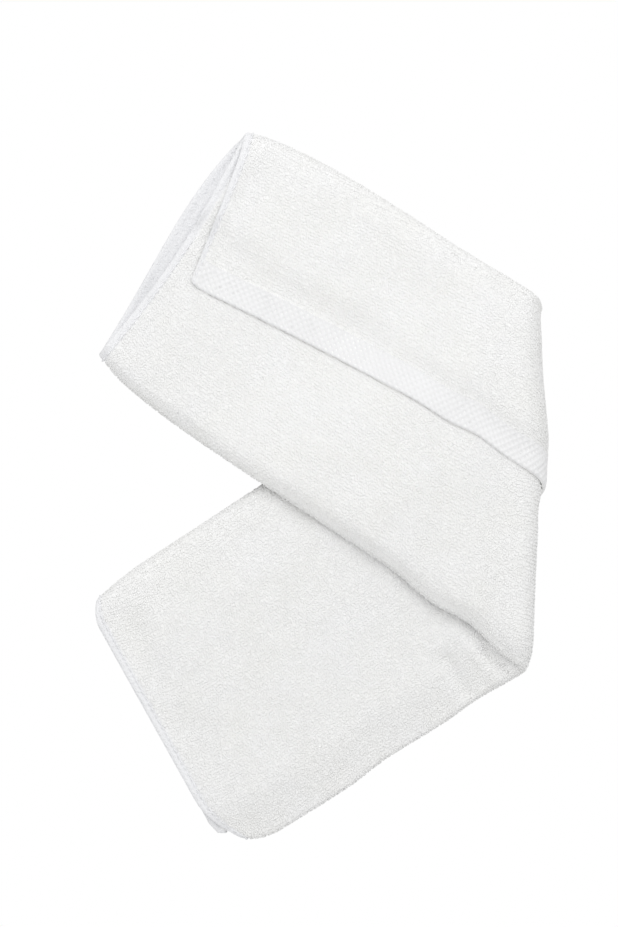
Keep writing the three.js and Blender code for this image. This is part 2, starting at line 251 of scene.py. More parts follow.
def turn_after(index, section):
    """The turn that joins a layer to the next: half an ellipse with its outermost point at edge."""
    outer = [section["width"], 0, section["cover_high"], section["core_low"],
             section["core_high"]][index]
    heads = LAYERS[index]["heads"]
    names = LAYERS[index]["name"], LAYERS[index + 1]["name"]
    edge = outer - heads * CLOTH / 2

    def half_gap(across):
        here, beyond = [float(layer_height(name, across, section)) for name in names]
        return (here - beyond) / 2

    reach = abs(half_gap(edge))
    start = edge - heads * reach
    half = half_gap(start)
    middle = float(layer_height(names[0], start, section)) - half
    return {"start": start, "reach": reach, "middle": middle, "half": half}


for along in (0, 3):
    inner = section_at(along)
    print(f"at {along} the flap's edge is {inner['flap_edge']:.0f} mm across, and the tail "
          f"{inner['core_high'] - inner['tail_edge']:.0f} mm long")

# %% [markdown]
# ## One line through all the layers
#
# Now we follow the middle of the cloth through the roll, layer after layer and turn after turn,
# and step half a thickness to both sides of it. The outer face shows, so it gets more points than
# the inner one. The cloth isn't the same everywhere: its side hems are turned over and stitched,
# the band beside the free edge is woven flat, and the rest carries loop pile. Where we will plant
# loops, the skin lies 0.5 mm lower, so that the finished pile reaches the solid's face.

# %% Faces of the cloth
FACE_POINTS = {
    "outer": {"layers": (46, 84, 58, 20, 20, 8), "turns": (12, 10, 6, 5, 5)},
    "inner": {"layers": (24, 40, 30, 18, 18, 8), "turns": (7, 6, 5, 4, 4)},
}
PILE = 0.5
HEM_WIDTH = 3.6
HEM_GROOVE = {"deep": 0.55, "wide": 1.0}
HEM_FADE, BAND_FADE = (0.4, 2), 0.4
BAND_THINNING = 1
EDGE_ROUND = {"wide": 1.0, "share": 0.75}
UNDERSIDE_PILE = (9, 12)
BARED_UNDER_FLAP, BARED_AT_MOUTH = (3, 6), (22, 25)
INSIDE_THE_BEND = (1, 1.3)
BAND_SAG = 1.1


def middle_line(section, points):
    """Columns of the line: layer, share turned to the next one, place across, height and so on."""
    keys = ("index", "turned", "across", "height", "stack_place", "out_across", "out_up")
    turns = [turn_after(index, section) for index in range(LAST)]
    pieces = []
    for index, layer in enumerate(LAYERS):
        heads = layer["heads"]
        start = section["flap_edge"] if index == 0 else turns[index - 1]["start"]
        end = section["tail_edge"] if index == LAST else turns[index]["start"]
        across = np.linspace(start, end, points["layers"][index])
        height = layer_height(layer["name"], across, section)
        pieces.append(np.broadcast_arrays(index, 0, across, height, across, 0, heads))
        if index < LAST:
            turn, steps = turns[index], points["turns"][index]
            turned = np.arange(1, steps) / steps
            outwards, up = np.sin(np.pi * turned), np.cos(np.pi * turned)
            pieces.append(np.broadcast_arrays(
                index, turned, turn["start"] + heads * turn["reach"] * outwards,
                turn["middle"] + turn["half"] * up, turn["start"], heads * outwards, heads * up))
    line = {key: np.concatenate(parts) for key, parts in zip(keys, zip(*pieces))}
    steps = np.hypot(np.diff(line["across"]), np.diff(line["height"]))
    line["run"] = np.concatenate([[0], np.cumsum(steps)])
    return line


def pile_on(along, line, section, to_end):
    """Where loops stand on the outer face: on all that shows, and a little way underneath."""
    index, turned, across = line["index"], line["turned"], line["across"]
    width, flap_edge = section["width"], section["flap_edge"]
    beside_edge = 1 - smoothstep(np.minimum(across, width - across), *UNDERSIDE_PILE)
    near = np.maximum(beside_edge, (turned > 0).astype(float))
    on_base = index == BASE
    if along <= 1:
        wrapped = 1 - smoothstep(length_to_end(1 - along, across / width), *UNDERSIDE_PILE)
        shown = np.where(on_base, 1, np.maximum(near, wrapped))
    elif along < 2:
        inside = 1 - smoothstep(along, *INSIDE_THE_BEND)
        shown = np.where(on_base, np.maximum(near, inside), 1)
    else:
        shown = np.where(on_base, near, 1)
    under_flap = smoothstep(across, *[flap_edge + margin for margin in BARED_UNDER_FLAP])
    if along > 2:
        under_flap = under_flap * smoothstep(to_end, *BARED_AT_MOUTH)
    shown = np.where(index == COVER, shown * (1 - under_flap), shown)
    shown = np.where((index > COVER) | ((index == COVER) & (turned > 0)), 0, shown)
    past_hem = smoothstep(to_end, HEM_WIDTH - HEM_FADE[0], HEM_WIDTH + HEM_FADE[1])
    past_band = smoothstep(line["run"], BAND_WIDTH - BAND_FADE, BAND_WIDTH + BAND_FADE)
    return shown * past_hem * past_band


def half_thickness(line, to_end):
    """Half the cloth's thickness: rounded at its edges, thin in the band and at the hem's seam."""
    past_band = smoothstep(line["run"], BAND_WIDTH - BAND_THINNING, BAND_WIDTH + BAND_THINNING)
    half = lerp(CLOTH, BAND_CLOTH, 1 - past_band) / 2
    seam = np.exp(-((to_end - HEM_WIDTH) / HEM_GROOVE["wide"]) ** 2)
    rim = np.clip(np.minimum(to_end, line["run"]) / EDGE_ROUND["wide"], 0, 1)
    return (half - HEM_GROOVE["deep"] * seam) * np.sqrt(1 - (1 - rim) ** 2 * EDGE_ROUND["share"])


for face, points in FACE_POINTS.items():
    print(f"{face} face: {sum(points['layers']) + sum(points['turns']) - LAST} points round the roll")

# %% [markdown]
# ## Heights: what the upper arm lies on, and the creases
#
# The lower arm lies on the table upside down. The upper arm lies on the lower one, bridges its
# rounded edge and comes down to the table past it. Every layer takes its ground from the same
# function of the place in plan, which is what keeps six layers apart. The same is true of the
# unevenness: soft waves, the troughs beside the hems and the puckers near the bend scale the whole
# stack's height, so that a crease runs down through the layers as it does in real cloth.

# %% Heights
BEND_AIR, BEND_CALM = 0.8, 40
BRIDGE = 18
GROUND_REACH, GROUND_SAMPLES = 9, 8
DRAPE = {"start": 2, "run": 36, "bend_run": 75}
WAVES = [(0.035, 0.031, 0.022, 0.6), (0.03, -0.026, 0.043, 2.1), (0.02, 0.062, -0.051, 4.0)]
FINE_WAVES = [(0.012, 0.16, 0.11, 1.1), (0.012, -0.12, 0.19, 0.3), (0.009, 0.27, -0.16, 5.0),
              (0.008, 0.09, 0.33, 2.6)]
HEM_TROUGH = {"from_end": 13, "wide": 6, "deep": 0.1}
TROUGH_LEVEL, TROUGH_WAVES = 0.6, [(0.4, 0.11, -0.07, 0)]
SETTLE = {"reach": 20, "samples": 9, "share": 0.75}
SUNK_EDGE = {"lower": {"height": 0.44, "run": 25}, "upper": {"height": 0.6, "run": 6.5}}

# Soft creases, each on an arm, from one place to another in plan: how wide it is to one side, and
# how much of the stack's height it takes away, or adds where it is a ridge.
CREASES = [
    ("lower", (-63, -118), (-32, -107), 8, 0.05),
    ("lower", (-88, -78), (-93, -66), 9, 0.08),
    ("lower", (58, -80), (68, -96), 3.5, 0.34),
    ("lower", (64, -69), (82, -89), 4, -0.24),
    ("lower", (76, -76), (89, -89), 2.5, 0.22),
    ("upper", (-33, 140), (-46, 107), 6, 0.15),
    ("upper", (-22, 144), (-20, 132), 7, 0.05),
    ("upper", (-73, 90), (-94, 63), 4, 0.07),
    ("upper", (60, -58), (70, -66), 4, 0.08),
]


def wave_sum(waves, place):
    return sum(share * np.sin(place[..., 0] * x + place[..., 1] * y + turn)
               for share, x, y, turn in waves)


def creases_at(place, arm):
    total = np.zeros(place.shape[:-1])
    for crease_arm, start, end, wide, deep in CREASES:
        if crease_arm == arm:
            way = np.subtract(end, start).astype(float)
            share = np.clip(((place - start) @ way) / (way @ way), 0, 1)
            away = np.linalg.norm(place - (start + share[..., None] * way), axis=-1)
            total -= deep * np.exp(-(away / wide) ** 2)
    return total


def uneven_at(place, arm, line):
    """The share of its own height that the stack has at a place."""
    calm = smoothstep(LOWER_BEND_LOW[0] - place[..., 0], 0, BEND_CALM)
    uneven = 1 + calm * (wave_sum(WAVES, place) + wave_sum(FINE_WAVES, place))
    uneven = uneven + creases_at(place, arm)
    beside_hem = np.exp(-((line["to_end"] - HEM_TROUGH["from_end"]) / HEM_TROUGH["wide"]) ** 2)
    patchy = TROUGH_LEVEL + wave_sum(TROUGH_WAVES, place)
    uneven = uneven - HEM_TROUGH["deep"] * beside_hem * patchy
    edge = SUNK_EDGE[arm]
    sunk = (1 - edge["height"]) * (1 - smoothstep(line["across"], 0, edge["run"]))
    return uneven * (1 - sunk * (calm if arm == "lower" else 1))


# The lower arm's height as a table by place along and share across, read between its entries.
TABLE_ALONG = np.linspace(HEM_PINCH["run"], 1, 60)
TABLE_SHARE = np.linspace(0, 1, 301)


def clipped_across(across, section):
    return np.clip(across, turn_after(1, section)["start"], turn_after(0, section)["start"])


def settled_stack(across, section):
    """The lower arm's height: its topmost cloth bridges the steps where layers end below it."""
    steps = np.linspace(-SETTLE["reach"], SETTLE["reach"], SETTLE["samples"])
    around = [stack_height(clipped_across(across + step, section), section) for step in steps]
    here = stack_height(clipped_across(across, section), section)
    return lerp(here, np.mean(around, axis=0), SETTLE["share"])


def stack_row(along):
    section = section_at(along)
    return settled_stack(TABLE_SHARE * section["width"], section)


LOWER_STACK = np.array([stack_row(along) for along in TABLE_ALONG])
LOWER_WIDTH = np.array([section_at(along)["width"] for along in TABLE_ALONG])


def lower_stack(along, share):
    i = (along - TABLE_ALONG[0]) / (TABLE_ALONG[1] - TABLE_ALONG[0])
    j = np.clip(share, 0, 1) * (len(TABLE_SHARE) - 1)
    i0 = np.clip(i.astype(int), 0, len(TABLE_ALONG) - 2)
    j0 = np.clip(j.astype(int), 0, len(TABLE_SHARE) - 2)
    near = lerp(LOWER_STACK[i0, j0], LOWER_STACK[i0, j0 + 1], j - j0)
    far = lerp(LOWER_STACK[i0 + 1, j0], LOWER_STACK[i0 + 1, j0 + 1], j - j0)
    return lerp(near, far, i - i0)


def ground_at(place, bend_stack):
    """The height of what the upper arm lies on, evened out as a thick soft stack does."""
    turns = np.linspace(0, 2 * np.pi, GROUND_SAMPLES, endpoint=False)
    around = [np.zeros(2)] + [GROUND_REACH * np.array([np.cos(a), np.sin(a)]) for a in turns]
    return np.mean([hard_ground_at(place + step, bend_stack) for step in around], axis=0)


def hard_ground_at(place, bend_stack):
    from_bend = LOWER_BEND_LOW[0] - place[..., 0]
    above_low = beside(place, HEM_LOW, LOWER_BEND_LOW)
    below_high = -beside(place, HEM_HIGH, LOWER_BEND_HIGH)
    share = above_low / (above_low + below_high)
    start, end = [lerp(low, high, share[..., None]) for low, high in LOWER_ARM]
    along = np.linalg.norm(place - start, axis=-1) / np.linalg.norm(end - start, axis=-1)
    along = np.clip(along, HEM_PINCH["run"], 1)
    width = np.interp(along, TABLE_ALONG, LOWER_WIDTH)
    inwards = np.clip(width / 2 - share * width, -BRIDGE, BRIDGE)
    stack = np.maximum(lower_stack(along, share), lower_stack(along, share + inwards / width))
    near_bend = 1 - smoothstep(from_bend, 0, BEND_CALM)
    past = smoothstep(-below_high, DRAPE["start"], DRAPE["start"] + DRAPE["run"])
    down = past * smoothstep(from_bend, 0, DRAPE["bend_run"])
    lower_arm = stack * (1 + smoothstep(from_bend, 0, BEND_CALM) * wave_sum(WAVES, place))
    return (np.maximum(lower_arm, bend_stack * near_bend) + BEND_AIR) * (1 - down)


print(f"lower arm's height: {LOWER_STACK.min():.1f} to {LOWER_STACK.max():.1f} mm")

# %% [markdown]
# ## Sweeping the section along the strip
#
# Each station along the strip gives one ring of points. Round the bend, every point travels on
# half an ellipse from its place on the lower arm to its place on the upper arm. Stations stand
# closer together at the two ends, where the hems need finer steps.

# %% Rings
def drawn_back(inwards, back, run, power=2):
    return back * np.clip(1 - inwards / run, 0, 1) ** power


def end_shift(layer, across, section, at_mouth):
    """How far a layer's side hem stands out past the end of the strip."""
    width, flap_edge, name = section["width"], section["flap_edge"], layer["name"]
    form = np.sin(np.pi * np.clip(across / width, 0, 1) ** layer["skew"])
    if name == "flap":
        form = (np.maximum(0, width - across) / (width - flap_edge)) ** FLAP_SLANT
    if at_mouth:
        corner = drawn_back(across - flap_edge, **FLAP_CORNER) if name == "flap" else 0
        return layer["mouth"] * form - corner
    power = 1 if name in STRAIGHT_CORNERS else 2
    low = drawn_back(across, layer["back"], layer["corner"], power)
    return layer["hem"] * form - low - drawn_back(width - across, **HIGH_CORNER)


def face_line(along, section, face):
    """The points of one face of the cloth at a station, before they are placed in space."""
    line = middle_line(section, FACE_POINTS[face])
    share = line["across"] / section["width"]
    line["to_end"] = length_to_end(along, share)
    line["pile"] = pile_on(along, line, section, line["to_end"]) * (face == "outer")
    side = 1 if face == "outer" else -1
    reach = half_thickness(line, line["to_end"]) - PILE * line["pile"]
    line["height"] = line["height"] - BAND_SAG * (1 - smoothstep(line["run"], 0, 2 * BAND_WIDTH))
    line["across"] = line["across"] + side * line["out_across"] * reach
    line["height"] = line["height"] + side * line["out_up"] * reach
    return line


def place_in_plan(plan, along, line, section):
    share = (line["across"] / section["width"])[:, None]
    place = lerp(plan["low"], plan["high"], share)
    fade = np.clip(1 - length_to_end(along, share[:, 0]) / END_RUN, 0, None) ** 2
    shifts = [end_shift(layer, line["across"], section, along > MID_BEND) for layer in LAYERS]
    shifts = np.array(shifts + [shifts[-1]])
    index = line["index"]
    row = np.arange(len(index))
    shift = lerp(shifts[index, row], shifts[index + 1, row], line["turned"])
    return place + plan["way"] * (fade * shift)[:, None]


def flat_station(along, face):
    """A station's section and plan, and the points of one face with their places in plan."""
    section, plan = section_at(along), plan_at(along)
    line = face_line(along, section, face)
    return section, plan, line, place_in_plan(plan, along, line, section)


def lower_face(along, face):
    section, _, line, place = flat_station(along, face)
    stack = stack_height(clipped_across(line["stack_place"], section), section)
    settled = settled_stack(line["stack_place"], section) / stack
    height = (stack - line["height"]) * settled * uneven_at(place, "lower", line)
    return np.column_stack([place, height]), line


def upper_face(along, face):
    section, plan, line, place = flat_station(along, face)
    across = clipped_across(line["across"], section)
    on_line = lerp(plan["low"], plan["high"], (across / section["width"])[:, None])
    ground = ground_at(on_line, stack_height(across, section))
    height = ground + line["height"] * uneven_at(place, "upper", line)
    return np.column_stack([place, height]), line


# How far the bend stands out, as a share of its own half height, by the share across.
BEND_REACH = [(0, 0.72), (0.3, 0.76), (0.42, 0.88), (0.5, 1.02), (0.62, 0.88), (0.86, 0.68),
              (0.95, 0.8), (1, 1.15)]


def bend_face(along, face):
    turned = along - 1
    low, _ = lower_face(1, face)
    high, _ = upper_face(2, face)
    section = section_at(along)
    line = face_line(along, section, face)
    place = lerp(low, high, turned)
    half = (high[:, 2] - low[:, 2]) / 2
    place[:, 2] = low[:, 2] + half * (1 - math.cos(math.pi * turned))
    reach = np.array([curve_at(BEND_REACH, share) for share in line["across"] / section["width"]])
    place[:, 0] += reach * half * math.sin(math.pi * turned)
    return place, line


def face_at(along, face):
    if along <= 1:
        return lower_face(along, face)
    return upper_face(along, face) if along >= 2 else bend_face(along, face)


ARM_STATIONS, END_STATIONS, END_SHARE, BEND_STATIONS = 72, 16, 0.08, 22


def stations():
    arm = np.concatenate([np.linspace(0, END_SHARE, END_STATIONS, endpoint=False),
                          np.linspace(END_SHARE, 1, ARM_STATIONS, endpoint=False)])
    bend = np.linspace(1, 2, BEND_STATIONS, endpoint=False)
    return np.concatenate([arm, bend, [2], (3 - arm)[::-1]])


STATIONS = stations()
SKIN = {face: [face_at(along, face) for along in STATIONS] for face in FACE_POINTS}
OUTER = np.array([points for points, _ in SKIN["outer"]])
INNER = np.array([points for points, _ in SKIN["inner"]])
print(f"{len(STATIONS)} stations with {OUTER.shape[1]} outer and {INNER.shape[1]} inner points")

# %% [markdown]
# ## The towel's skin
#
# The rings are joined into one closed mesh: the outer face, round the free edge to the inner face and
# back, with the two ends closed by a strip of triangles between the faces. Each vertex also keeps
# where it lies on the flat towel, as a UV map in metres, and a mask for the hem colour. On the outer
# face it marks the side hems. On the inner face it marks a wider strip at each end, and past the hem
# itself that darker colour is painted shade beside the edge of the layer above.

# %% Skin
def skin_values(face, key):
    """A table by station and point of one of the values that the points carry."""
    return np.array([line[key] for _, line in SKIN[face]])


def lengths_along(points):
    """How far each point is from the first one, along its column of points."""
    steps = np.linalg.norm(np.diff(points, axis=0), axis=-1)
    return np.concatenate([np.zeros_like(steps[:1]), np.cumsum(steps, axis=0)])


def flat_places(face):
    """Each point's place on the flat towel in mm: along the strip, and across from the free edge."""
    along = lengths_along(OUTER if face == "outer" else INNER)
    return np.stack([along * CLOTH_WIDTH / along[-1], skin_values(face, "run")], axis=-1)


def zipped(outer_run, inner_run):
    """Triangles between two rows of points: whether the outer row steps on, and both places."""
    i = j = 0
    while i < len(outer_run) - 1 or j < len(inner_run) - 1:
        ends = i == len(outer_run) - 1, j == len(inner_run) - 1
        if ends[1] or (not ends[0] and outer_run[i + 1] <= inner_run[j + 1]):
            yield True, i, j
            i += 1
        else:
            yield False, i, j
            j += 1


def skin_faces():
    outer_size, inner_size = OUTER.shape[1], INNER.shape[1]
    size = outer_size + inner_size
    ring = np.arange(size)
    nxt = np.roll(ring, -1)
    bases = (np.arange(len(STATIONS) - 1) * size)[:, None]
    quads = np.stack([bases + ring, bases + nxt, bases + size + nxt, bases + size + ring], axis=-1)
    faces = quads.reshape(-1, 4).tolist()

    def inner_vertex(j):
        return size - 1 - j

    last = (len(STATIONS) - 1) * size
    for base, station in ((0, 0), (last, -1)):
        outer_run = SKIN["outer"][station][1]["run"]
        inner_run = SKIN["inner"][station][1]["run"]
        for on_outer, i, j in zipped(outer_run / outer_run[-1], inner_run / inner_run[-1]):
            beyond = i + 1 if on_outer else inner_vertex(j + 1)
            triangle = [base + i, base + inner_vertex(j), base + beyond]
            faces.append(triangle if base == 0 else triangle[::-1])
    return faces


def put_in_scene(name, data):
    made = bpy.data.objects.new(name, data)
    bpy.context.scene.collection.objects.link(made)
    return made


def new_object(name, vertices, faces):
    """A mesh object at the origin, from points in millimetres."""
    mesh = bpy.data.meshes.new(name)
    mesh.from_pydata((np.asarray(vertices) * MM).tolist(), [], faces)
    mesh.update()
    return put_in_scene(name, mesh)


def triangle_count(mesh):
    return sum(len(face.vertices) - 2 for face in mesh.polygons)


def add_uv(piece, vertex_uv):
    corner_vertex = np.empty(len(piece.data.loops), int)
    piece.data.loops.foreach_get("vertex_index", corner_vertex)
    layer = piece.data.uv_layers.new(name="Flat")
    layer.data.foreach_set("uv", (np.asarray(vertex_uv)[corner_vertex] * MM).ravel())


def add_values(piece, name, values, kind="FLOAT"):
    attribute = piece.data.attributes.new(name, kind, "POINT")
    field = "value" if kind == "FLOAT" else "vector"
    attribute.data.foreach_set(field, np.asarray(values, float).ravel())


def joined(outer_values, inner_values):
    """One value for each skin vertex, from two tables by station and point."""
    return np.concatenate([outer_values, inner_values[:, ::-1]], axis=1)


# How far in from each end the hem colour reaches on each face. On the inner face it runs past the
# hem, and there the darker hem colour is painted shade beside the edge of the layer above.
HEM_AND_SHADE_WIDTH, HEM_AND_SHADE_FADE = {"outer": HEM_WIDTH, "inner": 16}, (-0.5, 1.5)
towel = new_object("towel_cloth", joined(OUTER, INNER).reshape(-1, 3), skin_faces())
add_uv(towel, joined(*[flat_places(face) for face in FACE_POINTS]).reshape(-1, 2))
# The mask: the hems' own colour, and on the inner face past the hem, painted shade.
past_hem = joined(*[skin_values(face, "to_end") - HEM_AND_SHADE_WIDTH[face] for face in FACE_POINTS])
add_values(towel, "hem", 1 - smoothstep(past_hem, *HEM_AND_SHADE_FADE))
towel.data.polygons.foreach_set("use_smooth", [True] * len(towel.data.polygons))
print(f"skin: {triangle_count(towel.data)} triangles")

# %% [markdown]
# ## Terry loops
#
# Terry is woven with a slack warp that stands up in small loops on both faces. A bump map would
# give the shading, but the loops also make the towel's soft edge, so they are real geometry where
# the pile shows. We work out one seed point for each loop: rows run along the strip, at equal
# steps from the free edge on the flap, and from the low fold on the rest. A Geometry Nodes tree
# then lays an arch of thick yarn on every seed, leaning and turned at random with a fixed seed.
# The arches are nearly flat and touch each other, as loops do that have been pressed in a fold.
# The same tree makes the hems' stitches, with other sizes.

# %% Seeds for the loops
ROW_STEP, LOOP_STEP = 1.45, 1.25
ROW_SCATTER, LOOP_SCATTER = 0.22, 0.35
FIRST_ROW = BAND_WIDTH + 0.3
FLAP_ROWS, BASE_ROWS, COVER_ROWS = 65, 118, 66
COVERED_MARGIN, COVERED_TO = 12, 0.97
RAGGED_EDGE = (0.2, 0.8)


def face_normals(points):
    normal = np.cross(np.gradient(points, axis=1), np.gradient(points, axis=0))
    return normal / np.linalg.norm(normal, axis=-1, keepdims=True)


def at_every_station(values):
    return np.repeat(values[None, :], len(STATIONS), axis=0)


def read_across(table, targets):
    """Values of a table by station and point, at the places across that each station asks for."""
    rows = []
    for values, run, target in zip(table, OUTER_RUN, targets):
        j = np.clip(np.searchsorted(run, target) - 1, 0, len(run) - 2)
        t = np.clip((target - run[j]) / (run[j + 1] - run[j]), 0, 1)
        t = t.reshape(t.shape + (1,) * (values.ndim - 1))
        rows.append(lerp(values[j], values[j + 1], t))
    return np.array(rows)


def read_columns(targets, places, table):
    """Each column of a table by place, read at the targets."""
    return np.stack([np.interp(targets, places, column) for column in table.T], axis=-1)


def fold_runs(turn_index):
    """At each station, how far along the cloth the outermost point of a turn is."""
    found = []
    for _, line in SKIN["outer"]:
        on_turn = line["run"][(line["index"] == turn_index) & (line["turned"] > 0)]
        found.append(on_turn[len(on_turn) // 2])
    return np.array(found)


OUTER_RUN, PILE_MASK = skin_values("outer", "run"), skin_values("outer", "pile")
NORMALS = face_normals(OUTER)
HIGH_FOLD, LOW_FOLD = fold_runs(0), fold_runs(1)
print("normals point up on the upper arm:", bool(NORMALS[-40, 20, 2] > 0))


def points_on_rows(row_runs, shown, rng):
    """Seeds at equal steps along rows of the cloth. row_runs is a table by station and row."""
    tables = {
        "place": read_across(OUTER, row_runs),
        "stand": read_across(NORMALS, row_runs),
        "pile": read_across(PILE_MASK, row_runs)[..., None] * shown[..., None],
        "flat_across": row_runs[..., None],
        "station": np.broadcast_to(STATIONS[:, None, None], row_runs.shape + (1,)),
    }
    tables["lie"] = np.gradient(tables["place"], axis=0)
    tables["sideways"] = np.cross(tables["stand"], tables["lie"])
    found = {key: [] for key in tables}
    for row in range(row_runs.shape[1]):
        length = lengths_along(tables["place"][:, row])
        # Every second row starts half a step later.
        targets = np.arange(0.5 + 0.5 * (row % 2), length[-1] / LOOP_STEP) * LOOP_STEP
        targets = targets + rng.uniform(-LOOP_SCATTER, LOOP_SCATTER, len(targets)) * LOOP_STEP
        thinning = rng.uniform(*RAGGED_EDGE, len(targets))
        kept = targets[np.interp(targets, length, tables["pile"][:, row, 0]) > thinning]
        for key, table in tables.items():
            found[key].append(read_columns(kept, length, table[:, row]))
    return {key: np.concatenate(parts) for key, parts in found.items()}


rng = np.random.default_rng(7)
flap_runs = at_every_station(FIRST_ROW + ROW_STEP * np.arange(FLAP_ROWS))
rest_runs = LOW_FOLD[:, None] + ROW_STEP * np.arange(-BASE_ROWS, COVER_ROWS)[None, :]
on_flap = points_on_rows(flap_runs, flap_runs < HIGH_FOLD[:, None], rng)
on_rest = points_on_rows(rest_runs, rest_runs >= HIGH_FOLD[:, None], rng)
seeds = {key: np.concatenate([on_flap[key], on_rest[key]]) for key in on_flap}

sideways = seeds["sideways"] / np.linalg.norm(seeds["sideways"], axis=-1, keepdims=True)
scatter = rng.uniform(-ROW_SCATTER, ROW_SCATTER, len(sideways)) * ROW_STEP
seeds["place"] = seeds["place"] + sideways * scatter[:, None]

# The lower arm's top is left without loops where the upper arm covers it.
on_lower_top = (seeds["station"][:, 0] < COVERED_TO) & (seeds["stand"][:, 2] > 0)
inside_edge = -beside(seeds["place"][:, :2], UPPER_BEND_LOW, MOUTH_LOW)
covered = on_lower_top & (inside_edge > COVERED_MARGIN)
seeds = {key: values[~covered] for key, values in seeds.items()}
print(f"{len(seeds['place'])} loops, and {covered.sum()} left out under the upper arm")

# %% [markdown]
# ### The arch tree
#
# One arch is an arc of three points, stretched to its span and height, with a yarn of four sides
# swept along it: 20 triangles, because it is repeated tens of thousands of times. The tree turns
# each arch so that it stands on the cloth and lies along its row.

# %% Arches on points
ARC_POINTS, YARN_SIDES = 3, 4


class Tree:
    """A small helper that adds nodes to a tree and links them by name."""

    MIX_SOCKETS = {"FLOAT": (2, 3, 0), "VECTOR": (4, 5, 1), "RGBA": (6, 7, 2)}

    def __init__(self, tree):
        self.tree = tree

    def takes_and_gives(self, takes, gives):
        """Adds the tree's own sockets, and returns those through which it takes its values."""
        for direction, sockets in (("INPUT", takes), ("OUTPUT", gives)):
            for name, kind in sockets.items():
                kind = "NodeSocket" + kind
                self.tree.interface.new_socket(name, in_out=direction, socket_type=kind)
        return self.add("NodeGroupInput").outputs

    def fill(self, node, inputs):
        for key, value in inputs.items():
            if isinstance(value, bpy.types.NodeSocket):
                self.tree.links.new(value, node.inputs[key])
            else:
                node.inputs[key].default_value = value

    def add(self, kind, inputs=None, **settings):
        node = self.tree.nodes.new(kind)
        for name, value in settings.items():
            setattr(node, name, value)
        self.fill(node, inputs or {})
        return node

    def out(self, kind, inputs=None, output=0, **settings):
        """One output of a new node."""
        return self.add(kind, inputs, **settings).outputs[output]

    def math(self, operation, first, second):
        return self.out("ShaderNodeMath", {0: first, 1: second}, operation=operation)

    def mix(self, kind, share, first, second):
        """A mix of two values. Each kind of value has its own sockets on the mix node."""
        a, b, result = self.MIX_SOCKETS[kind]
        return self.out("ShaderNodeMix", {0: share, a: first, b: second}, result, data_type=kind)

    def named(self, name, kind="FLOAT_VECTOR"):
        """An attribute of the geometry, by its name."""
        return self.out("GeometryNodeInputNamedAttribute", {"Name": name}, data_type=kind)

    def give(self, name, geometry, finish):
        """The tree's output: real, smooth geometry with its finish."""
        real = self.out("GeometryNodeRealizeInstances", {"Geometry": geometry})
        soft = self.out("GeometryNodeSetShadeSmooth", {"Geometry": real})
        finished = self.out("GeometryNodeSetMaterial", {"Geometry": soft, "Material": finish})
        self.add("NodeGroupOutput", {name: finished})


def arch_tree():
    t = Tree(bpy.data.node_groups.new("Arches on points", "GeometryNodeTree"))
    sizes = ("Span", "Height", "Yarn", "Lean", "Turn", "Least size", "Most size")
    takes = {"Seeds": "Geometry", **dict.fromkeys(sizes, "Float"), "Seed": "Int",
             "Finish": "Material"}
    given = t.takes_and_gives(takes, {"Arches": "Geometry"})
    half_span = t.math("MULTIPLY", given["Span"], 0.5)
    stretch = t.out("ShaderNodeCombineXYZ", {"X": half_span, "Y": given["Height"], "Z": 1.0})
    arc = t.out("GeometryNodeCurveArc", {
        "Resolution": ARC_POINTS, "Radius": 1.0, "Start Angle": 0.0, "Sweep Angle": math.pi})
    shaped = t.out("GeometryNodeTransform", {"Geometry": arc, "Scale": stretch})
    upright = t.out("GeometryNodeTransform", {
        "Geometry": shaped, "Rotation": (math.pi / 2, 0, 0)})
    ring = t.out("GeometryNodeCurvePrimitiveCircle", {
        "Resolution": YARN_SIDES, "Radius": t.math("MULTIPLY", given["Yarn"], 0.5)})
    yarn = t.out("GeometryNodeCurveToMesh", {
        "Curve": upright, "Profile Curve": ring, "Fill Caps": True})
    facing = t.out("FunctionNodeAxesToRotation", {
        "Primary Axis": t.named("stand"), "Secondary Axis": t.named("lie")},
        primary_axis="Z", secondary_axis="X")
    most = t.out("ShaderNodeCombineXYZ", {
        "X": given["Lean"], "Y": given["Lean"], "Z": given["Turn"]})
    least = t.out("ShaderNodeVectorMath", {0: most, "Scale": -1.0}, operation="SCALE")
    sway = t.out("FunctionNodeRandomValue", {0: least, 1: most, "Seed": given["Seed"]},
                 data_type="FLOAT_VECTOR")
    swayed = t.out("FunctionNodeEulerToRotation", {0: sway})
    turned = t.out("FunctionNodeRotateRotation", {0: facing, 1: swayed}, rotation_space="LOCAL")
    size = t.out("FunctionNodeRandomValue", {
        2: given["Least size"], 3: given["Most size"],
        "Seed": t.math("ADD", given["Seed"], 1.0)}, 1, data_type="FLOAT")
    placed = t.out("GeometryNodeInstanceOnPoints", {
        "Points": given["Seeds"], "Instance": yarn, "Rotation": turned, "Scale": size})
    t.give("Arches", placed, given["Finish"])
    return t.tree


ARCHES = arch_tree()
print("arch tree:", len(ARCHES.nodes), "nodes")


# %% Turning seeds into arches
def seed_object(name, found):
    seed = new_object(name, found["place"], [])
    add_values(seed, "stand", found["stand"], "FLOAT_VECTOR")
    add_values(seed, "lie", found["lie"], "FLOAT_VECTOR")
    return seed


def made_by(tree, piece, name, values):
    """The plain mesh that a tree makes of an object, with the tree's inputs set by identifier."""
    modifier = piece.modifiers.new("Nodes", "NODES")
    modifier.node_group = tree
    for socket in tree.interface.items_tree:
        if socket.item_type == "SOCKET" and socket.name in values:
            modifier[socket.identifier] = values[socket.name]
    evaluated = piece.evaluated_get(bpy.context.evaluated_depsgraph_get())
    mesh = bpy.data.meshes.new_from_object(evaluated)
    mesh.name = name
    bpy.data.objects.remove(piece)
    print(f"{name}: {triangle_count(mesh)} triangles")
    return put_in_scene(name, mesh)


def arches(name, found, part_seed, sizes):
    """A piece made of arches of one size, on the seeds found."""
    return made_by(ARCHES, seed_object(name + "_seeds", found), name, {**sizes, "Seed": part_seed})
